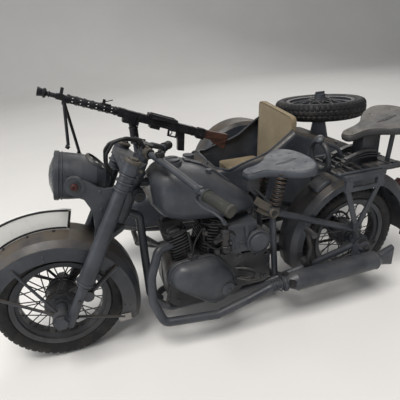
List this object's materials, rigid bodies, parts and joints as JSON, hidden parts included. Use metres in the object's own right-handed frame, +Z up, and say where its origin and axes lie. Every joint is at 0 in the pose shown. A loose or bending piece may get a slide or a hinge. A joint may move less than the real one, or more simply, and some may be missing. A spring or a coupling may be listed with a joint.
{
  "type": "military sidecar motorcycle model",
  "caption": "Scale model motorcycle with a hollow sidecar tub, raked steering fork, spinning wheels, pan saddles, side silencer, spare wheel on the tail and a swivelling model gun on a post.",
  "frame": {"origin": "middle of the part's box, on the floor the three wheels stand on", "axes": "+X towards the tail, the nose points to -X; +Y towards the sidecar, on the rider's right; +Z up"},
  "size_m": [0.4156, 0.3106, 0.2056],
  "materials": {
    "grey_paint": "matte field grey-blue paint, dusty",
    "dark_steel": "dark oily steel",
    "alloy": "dull cast alloy",
    "tyre": "matte black rubber",
    "rim": "grey painted rim and wire spokes",
    "plate": "white number plate, left blank",
    "lens": "clear ribbed lens",
    "grip": "ribbed grey-olive rubber",
    "seat_foam": "plain tan block",
    "gun_black": "satin black",
    "gun_wood": "red-brown stock",
    "cable": "black rubber cable covers",
    "red_lens": "dark tail lamp",
    "spring": "rusty spring steel"
  },
  "bodies": {
    "bike": {"air_box": "grey_paint", "carrier_frames": "grey_paint", "engine_case": "alloy", "engine_cylinders": "dark_steel", "exhaust_pipe": "dark_steel", "frame": "grey_paint", "front_saddle": "grey_paint", "fuel_tank": "grey_paint", "gun_post": "grey_paint", "kick_lever": "dark_steel", "primary_cover": "grey_paint", "rear_mudguard": "grey_paint", "rear_rack": "grey_paint", "rear_saddle": "grey_paint", "saddle_spring": "spring", "sidecar_backrest": "seat_foam", "sidecar_chassis": "dark_steel", "sidecar_cushion": "seat_foam", "sidecar_mudguard": "grey_paint", "sidecar_tub": "grey_paint", "silencer": "grey_paint", "spare_carrier": "grey_paint", "spare_tyre": "tyre", "spare_wheel": "rim", "tail_lamp": "red_lens", "tank_fittings": "grey_paint"},
    "steering": {"fork": "grey_paint", "headlamp": "grey_paint", "headlamp_lens": "lens", "speedometer": "dark_steel", "handlebar": "grey_paint", "control_cables": "cable", "grips": "grip", "front_mudguard": "grey_paint", "number_plate": "plate"},
    "front_wheel_set": {"front_tyre": "tyre", "front_wheel": "rim"},
    "rear_wheel_set": {"rear_tyre": "tyre", "rear_wheel": "rim"},
    "sidecar_wheel_set": {"sidecar_tyre": "tyre", "sidecar_wheel": "rim"},
    "gun": {"gun_barrel": "gun_black", "gun_bipod": "gun_black", "gun_carriage": "gun_black", "gun_receiver": "gun_black", "gun_stock": "gun_wood"}
  },
  "joints": [
    {"name": "steering", "type": "hinge", "parent": "bike", "child": "steering", "pos_m": [-0.08898, -0.07121, 0.13058], "axis": [0.4726, 0, 0.8813], "range_deg": [-20, 20]},
    {"name": "front_spin", "type": "hinge", "parent": "steering", "child": "front_wheel_set", "pos_m": [-0.15219, -0.07121, 0.051], "axis": [0, 1, 0], "continuous": true},
    {"name": "rear_spin", "type": "hinge", "parent": "bike", "child": "rear_wheel_set", "pos_m": [0.11781, -0.07121, 0.051], "axis": [0, 1, 0], "continuous": true},
    {"name": "sidecar_spin", "type": "hinge", "parent": "bike", "child": "sidecar_wheel_set", "pos_m": [0.09381, 0.13679, 0.051], "axis": [0, 1, 0], "continuous": true},
    {"name": "gun_swivel", "type": "hinge", "parent": "bike", "child": "gun", "pos_m": [-0.06319, 0.03879, 0.15], "axis": [0, 0, 1], "range_deg": [-15, 15]}
  ]
}
